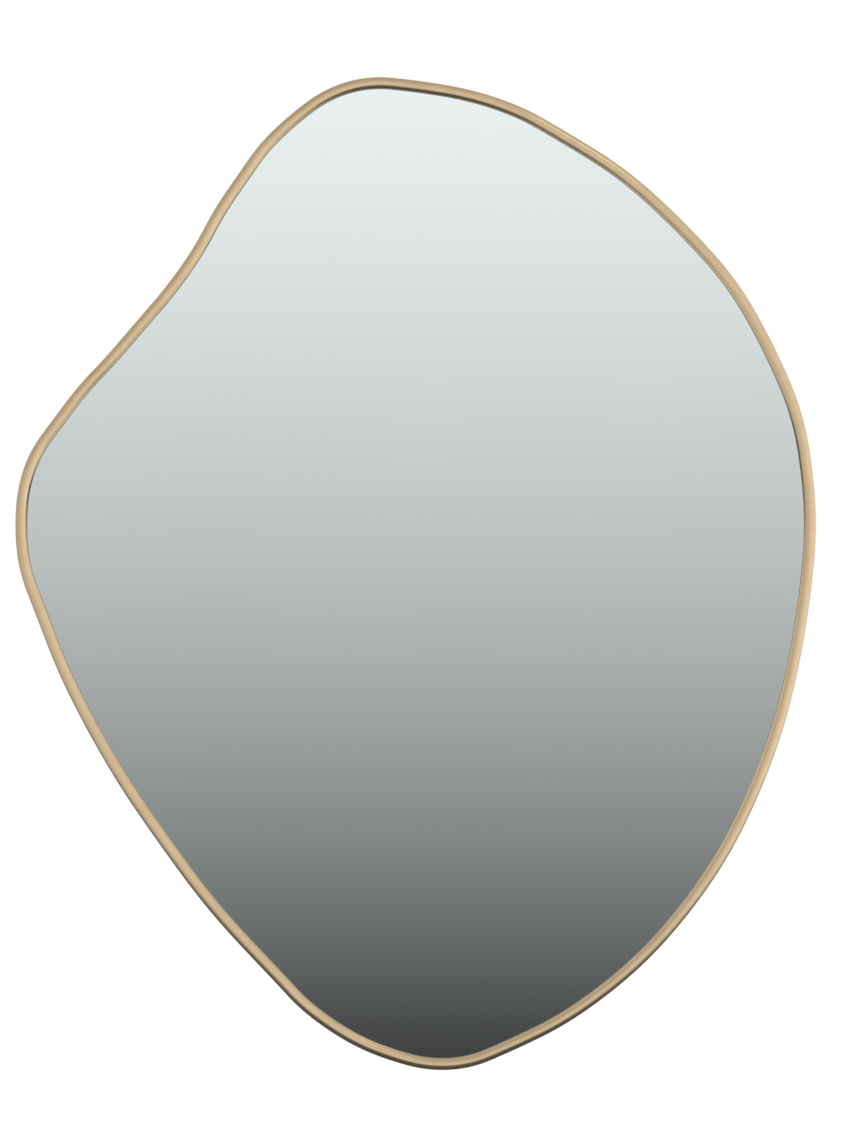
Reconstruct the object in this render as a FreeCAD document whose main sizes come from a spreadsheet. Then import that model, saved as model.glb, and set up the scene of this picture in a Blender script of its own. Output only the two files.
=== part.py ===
import FreeCAD, Part

import cmath
import math
import os
from collections import namedtuple
from enum import IntEnum

import Sketcher
from FreeCAD import Placement, Rotation, Vector

# A wall mirror with a free, pebble-like outline.  A half-round metal rim with a skirt behind it
# holds the glass, and a board behind the glass carries the hangers and the wall bumpers.
#
# Frame: the wall is the plane Y = 0, the glass faces -Y and +Z is up.  The origin lies on the wall,
# midway between the two points where the hanger rings bear on the wall's hooks.
# "Depth" below is the distance from the wall, along -Y.

document = FreeCAD.newDocument("irregular_wall_mirror")
sheet = document.addObject("Spreadsheet::Sheet", "sizes")

SIZES = [
    ("mirror_width", 645, "outer width of the rim"),
    ("mirror_height", 800, "outer height of the rim"),
    ("hang_height", 160, "hanging line above the middle of the outline"),
    ("hang_offset", 15, "origin to the right of the middle of the outline, over the centre of mass"),
    ("bead_width", 9.5, "face width of the half-round bead"),
    ("lip_land", 0.5, "straight part of the bead between its round and the glass"),
    ("skirt_wall", 2, "thickness of the skirt behind the bead"),
    ("rim_setback", 2, "wall to the rear edge of the skirt"),
    ("edge_clearance", 1, "skirt to the edges of the glass and the board"),
    ("glass_thickness", 4, "mirror glass"),
    ("tape_thickness", 1, "foam tape between glass and board"),
    ("tape_width", 20, "width of a strip of foam tape"),
    ("tape_margin", 45, "rim's outer edge to the end of a strip of foam tape"),
    ("board_thickness", 9, "backing board"),
    ("lug_thickness", 1.5, "strip that the retaining lugs are bent from"),
    ("lug_width", 16, "width of a retaining lug"),
    ("lug_bend", 1, "inner radius of a lug's bend"),
    ("lug_setback", 0.5, "skirt's rear edge to the end of a lug's leg"),
    ("lug_screw_inset", 9, "skirt's inner face to the screw of a lug"),
    ("screw_diameter", 3.5, "shank of a pan-head screw"),
    ("screw_length", 8, "screw below its head"),
    ("screw_point", 2, "tapered end of a screw"),
    ("head_diameter", 7, "head of a screw"),
    ("head_height", 2.2, "height of a screw's head"),
    ("head_bevel", 0.8, "bevel round the top of a screw's head"),
    ("hole_clearance", 0.1, "radial room round a screw's shank"),
    ("hole_overrun", 0.5, "board hole beyond the screw's point"),
    ("hanger_spacing", 300, "distance between the two hangers"),
    ("strap_width", 12, "width of a hanger's strap"),
    ("strap_thickness", 1.2, "thickness of a hanger's strap"),
    ("strap_bend", 2, "middle radius of the bend where the curl runs into the upper leaf"),
    ("strap_end", 8, "end of the strap beyond its second screw"),
    ("strap_corner", 3, "rounding of the strap's corners at that end"),
    ("leaf_gap", 0.2, "gap between the two leaves of the strap"),
    ("curl_clearance", 0.1, "radial room round the ring's bar in the strap's curl"),
    ("first_screw", 9, "ring's bar to the strap's first screw"),
    ("bow_clearance", 3, "folded ring's bow to the head of the strap's second screw"),
    ("ring_wire", 3, "wire diameter of a hanger ring"),
    ("ring_width", 22, "hanger ring between the centres of its sides"),
    ("ring_corner", 4, "centre radius of the ring's bends beside its bar"),
    ("ring_side", 7, "bar's centre to the start of the ring's bow"),
    ("bumper_height", 8, "wall to the board, the height of a bumper"),
    ("bumper_diameter", 15, "bumper on the board"),
    ("bumper_tip_diameter", 12, "bumper at the wall"),
    ("bumper_bevel", 1, "bevel round a bumper's tip"),
]

# Points that the rim's outer edge passes through, anticlockwise seen from the front, in mm across
# and up as the outline was first drawn; the mirror's width and height stretch it.
OUTLINE = [
    (21, -400), (98, -375), (166, -330), (238, -249), (286, -154), (313, -51),
    (321, 69), (311, 128), (288, 184), (259, 234), (218, 281), (165, 328),
    (126, 353), (82, 377), (22, 394), (-59, 395), (-114, 358), (-152, 309),
    (-189, 248), (-239, 187), (-282, 138), (-316, 84), (-322, 24), (-299, -52),
    (-247, -157), (-205, -220), (-169, -268), (-122, -320), (-85, -357), (-32, -388),
]

# Retaining lugs, anticlockwise from the outline's lowest point and about evenly spaced.
LUGS = [
    "lug_bottom",
    "lug_lower_right",
    "lug_right",
    "lug_upper_right",
    "lug_top",
    "lug_upper_left",
    "lug_left",
    "lug_lower_left",
]

# Bumper centres, across and up as drawn.
BUMPERS = [
    ("bumper_top_left", -70, 330),
    ("bumper_top_right", 150, 290),
    ("bumper_bottom_left", -60, -330),
    ("bumper_bottom_right", 90, -330),
]

# Heights of the strips of foam tape, as drawn.
TAPES = [
    ("tape_top", 300),
    ("tape_upper", 150),
    ("tape_middle", 0),
    ("tape_lower", -150),
    ("tape_bottom", -300),
]


# ---------------------------------------------------------------- sizes from the sheet

class Size:
    """A length from the sheet: its number now, and the formula that keeps it bound."""

    def __init__(self, number, formula):
        self.number = number
        self.formula = formula

    def __add__(self, other):
        return Size(self.number + other.number, "(%s + %s)" % (self.formula, other.formula))

    def __sub__(self, other):
        return Size(self.number - other.number, "(%s - %s)" % (self.formula, other.formula))

    def __neg__(self):
        return Size(-self.number, "(-%s)" % self.formula)

    def __mul__(self, factor):
        return Size(self.number * factor, "(%s * %r)" % (self.formula, factor))

    def __truediv__(self, other):
        return Size(self.number / other.number, "(%s / %s)" % (self.formula, other.formula))

    def times(self, other):
        return Size(self.number * other.number, "(%s * %s)" % (self.formula, other.formula))

    def root(self):
        return Size(math.sqrt(self.number), "sqrt(%s)" % self.formula)


def fill_sheet():
    for row, (alias, number, note) in enumerate(SIZES, start=1):
        sheet.set("A%d" % row, alias)
        sheet.set("B%d" % row, str(number))
        sheet.set("C%d" % row, note)
        sheet.setAlias("B%d" % row, alias)
    document.recompute()


def size(alias):
    return Size(float(sheet.get(alias)), "sizes.%s" % alias)


def bind(feature, name, length):
    """Sets a property and ties it to the sheet."""
    feature.setExpression(name, length.formula)


fill_sheet()
ZERO = Size(0.0, "0")
TOUCH = 1e-4    # mm; lengths nearer than this are equal

bead_radius = size("bead_width") * 0.5
wire_radius = size("ring_wire") * 0.5
shank_radius = size("screw_diameter") * 0.5
head_radius = size("head_diameter") * 0.5
hole_radius = shank_radius + size("hole_clearance")

# Depths of the layers, from the wall to the front.
board_rear = size("bumper_height")
board_front = board_rear + size("board_thickness")
glass_rear = board_front + size("tape_thickness")
glass_front = glass_rear + size("glass_thickness")
bead_centre_depth = glass_front + size("lip_land")

# A hanger, measured from the board's rear face towards the wall, and from the ring's bar down.
curl_radius = wire_radius + size("curl_clearance")
bar_lift = size("strap_thickness") + curl_radius
leaf_top = size("strap_thickness") * 2 + size("leaf_gap")
bow_reach = size("ring_side") + size("ring_width") * 0.5
second_screw = bow_reach + wire_radius + size("bow_clearance") + head_radius
bar_drop = bow_reach - wire_radius


# ---------------------------------------------------------------- the outline

# A point at a heading on an arc is its centre plus its signed radius along the outward normal;
# a hollow stretch has a negative radius.
Arc = namedtuple("Arc", "centre radius start end")


def outward(heading):
    """Unit normal to the right of the heading: out of an outline that runs anticlockwise."""
    return -1j * cmath.exp(1j * heading)


def turn(start, end):
    """Signed turn between two headings, within half a circle."""
    return (end - start + math.pi) % (2 * math.pi) - math.pi


def arc_point(arc, heading, inset=0.0):
    return arc.centre + (arc.radius - inset) * outward(heading)


def middle_heading(arc):
    return (arc.start + arc.end) / 2


def heading_at(before, point, after):
    """Heading of a smooth curve through three points: the nearer chord counts more."""
    arriving, leaving = point - before, after - point
    share = abs(arriving) / (abs(arriving) + abs(leaving))
    first = cmath.phase(arriving)
    return first + share * turn(first, cmath.phase(leaving))


def arc_from(point, heading, end):
    """The arc that leaves a point at a heading and reaches the end point."""
    chord = end - point
    half_turn = turn(heading, cmath.phase(chord))
    radius = abs(chord) / (2 * math.sin(half_turn))
    return Arc(point - radius * outward(heading), radius, heading, heading + 2 * half_turn)


def dot(a, b):
    return (a * b.conjugate()).real


def tangent_arcs(points):
    """Closed chain of tangent arcs through the points, two arcs to each span."""
    count = len(points)
    headings = [heading_at(points[k - 1], points[k], points[(k + 1) % count]) for k in range(count)]
    chain = []
    for k, point in enumerate(points):
        after = points[(k + 1) % count]
        leave = cmath.exp(1j * headings[k])
        arrive = cmath.exp(1j * headings[(k + 1) % count])
        span = after - point
        along = dot(span, leave + arrive)
        spread = 2 * (1 - dot(leave, arrive))
        length = abs(span) ** 2
        tangent_length = length / (along + math.sqrt(along ** 2 + spread * length))
        joint = (point + after + tangent_length * (leave - arrive)) / 2
        first = arc_from(point, headings[k], joint)
        chain.append(first)
        chain.append(arc_from(joint, first.end, after))
    return chain


def reach(chain, direction):
    """How far the chain reaches along a unit direction."""
    facing = cmath.phase(direction) + math.pi / 2
    reached = []
    for arc in chain:
        reached.append(dot(arc_point(arc, arc.start), direction))
        if 0 <= turn(arc.start, facing) / (arc.end - arc.start) <= 1:
            reached.append(dot(arc_point(arc, facing), direction))
    return max(reached)


drawn = tangent_arcs([complex(x, z) for x, z in OUTLINE])
drawn_width = reach(drawn, 1) + reach(drawn, -1)
drawn_height = reach(drawn, 1j) + reach(drawn, -1j)
drawn_middle = complex(reach(drawn, 1) - reach(drawn, -1), reach(drawn, 1j) - reach(drawn, -1j)) / 2


def stretched(x, z):
    """A drawn point at the mirror's width and height, seen from the origin, bound to the sheet."""
    across = size("mirror_width") * ((x - drawn_middle.real) / drawn_width) - size("hang_offset")
    up = size("mirror_height") * ((z - drawn_middle.imag) / drawn_height) - size("hang_height")
    return across, up


arcs = tangent_arcs([complex(*(length.number for length in stretched(x, z))) for x, z in OUTLINE])


def lowest_arc():
    """Index of the arc that holds the outline's lowest point, where its heading is along +X."""
    for index, arc in enumerate(arcs):
        to_lowest = turn(arc.start, 0.0)
        if arc.radius > 0 and 0 <= to_lowest <= arc.end - arc.start:
            return index
    raise ValueError("the outline has no lowest point")


def arcs_from_lowest():
    """The chain of arcs, started and ended at its lowest point."""
    index = lowest_arc()
    arc = arcs[index]
    lowest = arc.start + turn(arc.start, 0.0)
    ending = Arc(arc.centre, arc.radius, arc.start, lowest)
    starting = Arc(arc.centre, arc.radius, lowest, arc.end)
    return [starting] + arcs[index + 1:] + arcs[:index] + [ending]


def crossings(height):
    """Where the outline crosses a level line, left and right."""
    found = []
    for arc in arcs:
        rise = height - arc.centre.imag
        if abs(rise) > abs(arc.radius):
            continue
        half = math.sqrt(arc.radius ** 2 - rise ** 2)
        for x in (-half, half):
            heading = cmath.phase(complex(x, rise) / arc.radius) + math.pi / 2
            to_crossing = turn(arc.start, heading)
            whole = arc.end - arc.start
            if 0 <= to_crossing / whole <= 1:
                found.append(arc.centre.real + x)
    return min(found), max(found)


# ---------------------------------------------------------------- sketching

# The sketcher counts an edge's own points 1, 2, 3; its origin is point 1 of its edge -1.
EdgePoint = IntEnum("EdgePoint", "START END CENTRE")
ORIGIN_POINT = (-1, 1)


def vector(point):
    return Vector(point.real, point.imag, 0)


def new_body(label):
    body = document.addObject("PartDesign::Body", label)
    body.Label = label
    return body


def new_sketch(body, name, role, offset=ZERO):
    """A sketch on one of the body's own planes, moved along the plane's normal."""
    sketch = body.newObject("Sketcher::SketchObject", "%s_%s" % (body.Name, name))
    plane = [feature for feature in body.Origin.OriginFeatures if feature.Role == role][0]
    sketch.AttachmentSupport = [(plane, "")]
    sketch.MapMode = "FlatFace"
    bind(sketch, ".AttachmentOffset.Base.z", offset)
    return sketch


def draw_outline(sketch, chain, inset=0.0):
    """The closed chain of arcs, each arc tangent to the next."""
    for arc in chain:
        radius = arc.radius - inset
        circle = Part.Circle(vector(arc.centre), Vector(0, 0, 1), abs(radius))
        first = cmath.phase(radius * outward(arc.start))
        last = cmath.phase(radius * outward(arc.end))
        if radius < 0:
            first, last = last, first
        sketch.addGeometry(Part.ArcOfCircle(circle, first, last))
    for index, arc in enumerate(chain):
        following = (index + 1) % len(chain)
        leaving = EdgePoint.END if arc.radius > 0 else EdgePoint.START
        entering = EdgePoint.START if chain[following].radius > 0 else EdgePoint.END
        sketch.addConstraint(Sketcher.Constraint("Tangent", index, leaving, following, entering))


def pin(sketch, kind, geometry, point, length):
    """Holds one coordinate of a point of the sketch at a length from the sheet."""
    constraint = Sketcher.Constraint(kind, *ORIGIN_POINT, geometry, point, length.number)
    index = sketch.addConstraint(constraint)
    bind(sketch, "Constraints[%d]" % index, length)


def draw_profile(sketch, start, steps):
    """A closed profile.  A step is (x, y) for a line, or (x, y, centre x, centre y, way) for an arc,
    whose way is +1 anticlockwise or -1 clockwise.  Every corner is bound to the sheet."""
    corner = start
    for step in steps:
        here = Vector(corner[0].number, corner[1].number, 0)
        there = Vector(step[0].number, step[1].number, 0)
        if len(step) == 2:
            index = sketch.addGeometry(Part.LineSegment(here, there))
            last = EdgePoint.END
        else:
            index, last = draw_arc(sketch, here, there, step)
        pin(sketch, "DistanceX", index, last, step[0])
        pin(sketch, "DistanceY", index, last, step[1])
        corner = step
    link_ends(sketch, steps)


def draw_arc(sketch, here, there, step):
    centre = Vector(step[2].number, step[3].number, 0)
    way = step[4]
    first, last = (here, there) if way > 0 else (there, here)
    circle = Part.Circle(centre, Vector(0, 0, 1), (here - centre).Length)
    start_angle = math.atan2(first.y - centre.y, first.x - centre.x)
    end_angle = math.atan2(last.y - centre.y, last.x - centre.x)
    index = sketch.addGeometry(Part.ArcOfCircle(circle, start_angle, end_angle))
    chord = there - here
    if abs(chord.x) > abs(chord.y):
        pin(sketch, "DistanceY", index, EdgePoint.CENTRE, step[3])
    else:
        pin(sketch, "DistanceX", index, EdgePoint.CENTRE, step[2])
    return index, EdgePoint.END if way > 0 else EdgePoint.START


def link_ends(sketch, steps):
    """Joins the end of each step to the start of the next."""
    for index, step in enumerate(steps):
        following = (index + 1) % len(steps)
        clockwise = len(step) > 2 and step[4] < 0
        clockwise_next = len(steps[following]) > 2 and steps[following][4] < 0
        leaving = EdgePoint.START if clockwise else EdgePoint.END
        entering = EdgePoint.END if clockwise_next else EdgePoint.START
        sketch.addConstraint(Sketcher.Constraint("Coincident", index, leaving, following, entering))


def draw_circle(sketch, x, y, radius):
    centre = Vector(x.number, y.number, 0)
    index = sketch.addGeometry(Part.Circle(centre, Vector(0, 0, 1), radius.number))
    pin(sketch, "DistanceX", index, EdgePoint.CENTRE, x)
    pin(sketch, "DistanceY", index, EdgePoint.CENTRE, y)
    radius_index = sketch.addConstraint(Sketcher.Constraint("Radius", index, radius.number))
    bind(sketch, "Constraints[%d]" % radius_index, radius)


def pad(body, sketch, length, reversed_way=False, both_ways=False):
    feature = body.newObject("PartDesign::Pad", "%s_pad" % sketch.Name)
    feature.Profile = sketch
    bind(feature, "Length", length)
    feature.Reversed = reversed_way
    feature.Midplane = both_ways
    return feature


def round_edges(body, name, chosen, radius):
    """Rounds the edges of the body for which chosen(edge) is true."""
    document.recompute()
    base = body.Tip
    edges = enumerate(base.Shape.Edges, start=1)
    names = ["Edge%d" % number for number, edge in edges if chosen(edge)]
    rounding = body.newObject("PartDesign::Fillet", "%s_%s" % (body.Name, name))
    rounding.Base = (base, names)
    bind(rounding, "Radius", radius)


def place(feature, x, y, z):
    """Ties the three coordinates of a placement to the sheet."""
    bind(feature, ".Placement.Base.x", x)
    bind(feature, ".Placement.Base.y", y)
    bind(feature, ".Placement.Base.z", z)


# ---------------------------------------------------------------- rim, glass and board

def make_rim():
    """Half-round bead with a skirt behind it, swept once round the outline from its lowest point.
    The bead's rear inner land is the lip that the glass lies against."""
    body = new_body("rim")
    chain = arcs_from_lowest()
    path = new_sketch(body, "path", "XZ_Plane")
    draw_outline(path, chain)

    lowest = arc_point(chain[0], chain[0].start)
    profile = new_sketch(body, "profile", "YZ_Plane")
    profile.setExpression(".AttachmentOffset.Base.z", None)
    profile.AttachmentOffset = Placement(Vector(0, lowest.imag, lowest.real), Rotation())
    rear, lip, round_start = -size("rim_setback"), -glass_front, -bead_centre_depth
    width, wall = size("bead_width"), size("skirt_wall")
    draw_profile(profile, (rear, ZERO), [
        (rear, wall),
        (lip, wall),
        (lip, width),
        (round_start, width),
        (round_start, ZERO, round_start, bead_radius, 1),
        (rear, ZERO),
    ])

    pipe = body.newObject("PartDesign::AdditivePipe", "rim_sweep")
    pipe.Profile = profile
    pipe.Spine = (path, ["Edge%d" % (index + 1) for index in range(len(chain))])
    return body


def make_glass():
    """Mirror glass, behind the lip and clear of the skirt."""
    body = new_body("mirror_glass")
    inset = size("skirt_wall") + size("edge_clearance")
    sketch = new_sketch(body, "outline", "XZ_Plane", glass_rear)
    draw_outline(sketch, arcs, inset.number)
    pad(body, sketch, size("glass_thickness"))
    return body


def make_board(lug_seats):
    """Backing board, with blind holes for the screws of the lugs and the hangers."""
    body = new_body("backing_board")
    inset = size("skirt_wall") + size("edge_clearance")
    sketch = new_sketch(body, "outline", "XZ_Plane", board_rear)
    draw_outline(sketch, arcs, inset.number)
    pad(body, sketch, size("board_thickness"))

    lug_holes = new_sketch(body, "lug_holes", "XZ_Plane", board_rear)
    for seat in lug_seats:
        circle = Part.Circle(vector(seat), Vector(0, 0, 1), hole_radius.number)
        lug_holes.addGeometry(circle)
    bore(body, lug_holes, size("screw_length") - size("lug_thickness") + size("hole_overrun"))

    hanger_holes = new_sketch(body, "hanger_holes", "XZ_Plane", board_rear)
    for side in (-1, 1):
        for drop in (size("first_screw"), second_screw):
            x = size("hanger_spacing") * (0.5 * side)
            draw_circle(hanger_holes, x, -bar_drop - drop, hole_radius)
    bore(body, hanger_holes, size("screw_length") - leaf_top + size("hole_overrun"))
    return body


def bore(body, sketch, depth):
    """Blind holes from the board's rear face towards the front."""
    feature = body.newObject("PartDesign::Pocket", "%s_bore" % sketch.Name)
    feature.Profile = sketch
    bind(feature, "Length", depth)
    feature.Reversed = True
    return feature


def make_tape(label, z):
    """One level strip of foam tape between the board and the glass."""
    height = stretched(0, z)[1]
    left, right = crossings(height.number)
    margin = size("tape_margin").number
    strip = document.addObject("Part::Box", label)
    strip.Label = label
    strip.Length = right - left - 2 * margin
    bind(strip, "Width", size("tape_thickness"))
    bind(strip, "Height", size("tape_width"))
    strip.Placement = Placement(Vector(left + margin, 0, 0), Rotation())
    bind(strip, ".Placement.Base.y", -glass_rear)
    bind(strip, ".Placement.Base.z", height - size("tape_width") * 0.5)
    return strip


# ---------------------------------------------------------------- retaining lugs and screws

def lug_arcs():
    """The arcs that carry the lugs: each is long enough for a lug, and its middle is the nearest one
    to an even share of the way round."""
    chain = arcs_from_lowest()
    room = size("lug_width").number + size("skirt_wall").number
    candidates = []
    travelled = 0.0
    for arc in chain:
        length = arc.radius * (arc.end - arc.start)
        if length > room:
            candidates.append((travelled + length / 2, arc))
        travelled += length
    pitch = travelled / len(LUGS)
    targets = [pitch * (number + 0.25) for number in range(len(LUGS))]
    return [min(candidates, key=lambda found: abs(found[0] - target))[1] for target in targets]


def lug_seat(arc):
    """The lug's middle on the skirt's inner face, and the direction out of the rim there."""
    heading = middle_heading(arc)
    return arc_point(arc, heading, size("skirt_wall").number), outward(heading)


def lug_screw_seat(arc):
    seat, out = lug_seat(arc)
    return seat - size("lug_screw_inset").number * out


def make_lug(label, arc):
    """Bent strip: a leg that follows the skirt's inner face, where it is welded, and a foot on the
    board's rear face with a rounded end and a screw hole.  Drawn with the skirt at the top."""
    body = new_body(label)
    seat_radius = Size(arc.radius, "%.6f" % arc.radius) - size("skirt_wall")
    half_width = size("lug_width") * 0.5
    way = 1 if arc.radius > 0 else -1
    square = seat_radius.times(seat_radius) - half_width.times(half_width)
    edge = square.root() * way - seat_radius
    inner_radius = seat_radius - size("lug_thickness")
    inner_square = inner_radius.times(inner_radius) - half_width.times(half_width)
    inner_edge = inner_square.root() * way - seat_radius
    screw = -size("lug_screw_inset")

    foot = new_sketch(body, "foot", "XZ_Plane")
    draw_profile(foot, (half_width, edge), [
        (-half_width, edge, ZERO, -seat_radius, way),
        (-half_width, screw),
        (half_width, screw, ZERO, screw, 1),
        (half_width, edge),
    ])
    draw_circle(foot, ZERO, screw, hole_radius)
    pad(body, foot, size("lug_thickness"), reversed_way=True)

    leg = new_sketch(body, "leg", "XZ_Plane")
    draw_profile(leg, (half_width, edge), [
        (-half_width, edge, ZERO, -seat_radius, way),
        (-half_width, inner_edge),
        (half_width, inner_edge, ZERO, -seat_radius, -way),
        (half_width, edge),
    ])
    leg_height = size("bumper_height") - size("rim_setback") - size("lug_setback")
    pad(body, leg, leg_height, reversed_way=True)

    def follows(edge, radius, lift):
        """Whether an edge runs along the skirt, at a radius and a lift off the board."""
        curve = edge.Curve
        if not isinstance(curve, Part.Circle):
            return False
        return abs(curve.Radius - radius) < TOUCH and abs(curve.Center.y - lift) < TOUCH

    inner = (abs(inner_radius.number), size("lug_thickness").number)
    outer = (abs(seat_radius.number), 0.0)
    outer_bend = size("lug_bend") + size("lug_thickness")
    round_edges(body, "inner_bend", lambda edge: follows(edge, *inner), size("lug_bend"))
    round_edges(body, "outer_bend", lambda edge: follows(edge, *outer), outer_bend)

    seat, out = lug_seat(arc)
    tilt = math.degrees(math.atan2(out.real, out.imag))
    body.Placement = Placement(Vector(seat.real, 0, seat.imag), Rotation(Vector(0, 1, 0), tilt))
    bind(body, ".Placement.Base.y", -board_rear)
    return body


def screw_profile():
    """Half section of a pan-head screw: the head's seat at y = 0, the shank towards -Y."""
    sketch = document.addObject("Sketcher::SketchObject", "screw_profile")
    top, bevel = size("head_height"), size("head_bevel")
    length, point = size("screw_length"), size("screw_point")
    draw_profile(sketch, (ZERO, -length), [
        (shank_radius, point - length),
        (shank_radius, ZERO),
        (head_radius, ZERO),
        (head_radius, top - bevel),
        (head_radius - bevel, top),
        (ZERO, top),
        (ZERO, -length),
    ])
    return sketch


def make_screws(label, profile, seats):
    """A group of equal screws, one at each seat (x, y, z)."""
    screws = []
    for number, (x, y, z) in enumerate(seats, start=1):
        screw = document.addObject("Part::Revolution", "%s_%d" % (label, number))
        screw.Source = profile
        screw.Axis = Vector(0, 1, 0)
        screw.Base = Vector(0, 0, 0)
        screw.Angle = 360
        screw.Solid = True
        place(screw, x, y, z)
        screws.append(screw)
    group = document.addObject("Part::Compound", label)
    group.Label = label
    group.Links = screws
    return group


def fixed(number):
    """A coordinate that the outline's arcs give."""
    return Size(number, "%.6f" % number)


# ---------------------------------------------------------------- hangers

def make_strap(label, side):
    """Strip folded round the ring's bar like a hairpin, both leaves screwed to the board.
    Drawn with the bar's centre above the origin, y from the board towards the wall, z up."""
    body = new_body(label)
    thickness, bend = size("strap_thickness"), size("strap_bend")
    half = thickness * 0.5
    upper_leaf = thickness + size("leaf_gap")
    bend_height = upper_leaf + half + bend
    middle_radius = curl_radius + half
    reach = middle_radius + bend
    rise = bend_height - bar_lift
    bend_drop = (reach.times(reach) - rise.times(rise)).root()

    def meeting(radius):
        """Point on the line from the curl's centre to the bend's centre."""
        return bar_lift + radius.times(rise) / reach, -(radius.times(bend_drop) / reach)

    outer = meeting(curl_radius + thickness)
    inner = meeting(curl_radius)
    end = -second_screw - size("strap_end")
    section = new_sketch(body, "section", "YZ_Plane")
    draw_profile(section, (ZERO, end), [
        (ZERO, ZERO),
        (bar_lift + curl_radius + thickness, ZERO, bar_lift, ZERO, -1),
        (outer[0], outer[1], bar_lift, ZERO, -1),
        (leaf_top, -bend_drop, bend_height, -bend_drop, 1),
        (leaf_top, end),
        (upper_leaf, end),
        (upper_leaf, -bend_drop),
        (inner[0], inner[1], bend_height, -bend_drop, -1),
        (bar_lift + curl_radius, ZERO, bar_lift, ZERO, 1),
        (thickness, ZERO, bar_lift, ZERO, 1),
        (thickness, end),
        (ZERO, end),
    ])
    pad(body, section, size("strap_width"), both_ways=True)

    holes = new_sketch(body, "holes", "XZ_Plane")
    for drop in (size("first_screw"), second_screw):
        draw_circle(holes, ZERO, -drop, hole_radius)
    cut = body.newObject("PartDesign::Pocket", "%s_cut" % holes.Name)
    cut.Profile = holes
    cut.Type = "ThroughAll"
    cut.Midplane = True

    def corner(edge):
        """Whether an edge is one of the leaves' corners at the strap's end."""
        box = edge.BoundBox
        return abs(box.ZMin - end.number) < TOUCH and box.XLength < TOUCH and box.ZLength < TOUCH

    round_edges(body, "corners", corner, size("strap_corner"))
    place(body, size("hanger_spacing") * (0.5 * side), -board_rear, -bar_drop)
    return body


def make_ring(label, side):
    """Bent wire: a straight bar in the strap's curl, two sides and a half-round bow."""
    body = new_body(label)
    half_width = size("ring_width") * 0.5
    corner, shoulder = size("ring_corner"), size("ring_side")
    bar_end = half_width - corner
    path = new_sketch(body, "path", "XZ_Plane")
    steps = [
        (bar_end, ZERO),
        (half_width, corner, bar_end, corner, 1),
        (half_width, shoulder),
        (-half_width, shoulder, ZERO, shoulder, 1),
        (-half_width, corner),
        (-bar_end, ZERO, -bar_end, corner, 1),
        (ZERO, ZERO),
    ]
    draw_profile(path, (ZERO, ZERO), steps)
    wire = new_sketch(body, "wire", "YZ_Plane")
    draw_circle(wire, ZERO, ZERO, wire_radius)
    pipe = body.newObject("PartDesign::AdditivePipe", "%s_sweep" % label)
    pipe.Profile = wire
    pipe.Spine = (path, ["Edge%d" % (index + 1) for index in range(len(steps))])
    place(body, size("hanger_spacing") * (0.5 * side), bar_lift - board_rear, -bar_drop)
    return body


def strap_screw_seats(side):
    x = size("hanger_spacing") * (0.5 * side)
    y = leaf_top - board_rear
    return [(x, y, -bar_drop - drop) for drop in (size("first_screw"), second_screw)]


# ---------------------------------------------------------------- wall bumpers

def make_bumper(label, x, z):
    """Self-adhesive rubber foot: a blunt cone with a bevelled tip that rests on the wall."""
    body = new_body(label)
    base, tip = size("bumper_diameter") * 0.5, size("bumper_tip_diameter") * 0.5
    height, bevel = size("bumper_height"), size("bumper_bevel")
    section = new_sketch(body, "section", "XY_Plane")
    draw_profile(section, (ZERO, ZERO), [
        (base, ZERO),
        (tip, height - bevel),
        (tip - bevel, height),
        (ZERO, height),
        (ZERO, ZERO),
    ])
    turned = body.newObject("PartDesign::Revolution", "%s_turned" % label)
    turned.Profile = section
    turned.ReferenceAxis = (section, ["V_Axis"])
    turned.Angle = 360
    across, up = stretched(x, z)
    place(body, across, -board_rear, up)
    return body


# ---------------------------------------------------------------- the whole mirror

carriers = lug_arcs()
lug_seats = [lug_screw_seat(arc) for arc in carriers]
pieces = [make_rim(), make_glass(), make_board(lug_seats)]
pieces += [make_tape(label, z) for label, z in TAPES]
pieces += [make_lug(label, arc) for label, arc in zip(LUGS, carriers)]

profile = screw_profile()
lug_top = size("lug_thickness") - board_rear
pieces.append(make_screws(
    "lug_screws", profile, [(fixed(seat.real), lug_top, fixed(seat.imag)) for seat in lug_seats]))

for side, word in ((-1, "left"), (1, "right")):
    pieces.append(make_strap("hanger_strap_%s" % word, side))
    pieces.append(make_ring("hanger_ring_%s" % word, side))
    pieces.append(make_screws("hanger_screws_%s" % word, profile, strap_screw_seats(side)))

pieces += [make_bumper(label, x, z) for label, x, z in BUMPERS]

document.recompute()

for feature in document.Objects:
    if "Invalid" in feature.State or "Error" in feature.State:
        raise RuntimeError("%s failed: %s" % (feature.Label, feature.State))
for piece in pieces:
    if piece.Shape.isNull() or not piece.Shape.isValid():
        raise RuntimeError("%s has no valid shape" % piece.Label)

os.makedirs("parts", exist_ok=True)
for piece in pieces:
    piece.Shape.exportStep("parts/%s.step" % piece.Label)
    box = piece.Shape.BoundBox
    print("%-22s %2d solid(s) %10.1f mm3  x %7.1f %7.1f  y %6.1f %6.1f  z %7.1f %7.1f" % (
        piece.Label, len(piece.Shape.Solids), piece.Shape.Volume,
        box.XMin, box.XMax, box.YMin, box.YMax, box.ZMin, box.ZMax))
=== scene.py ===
import cmath
import math
from collections import namedtuple

import bmesh
import bpy
from mathutils import Matrix, Vector


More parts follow.
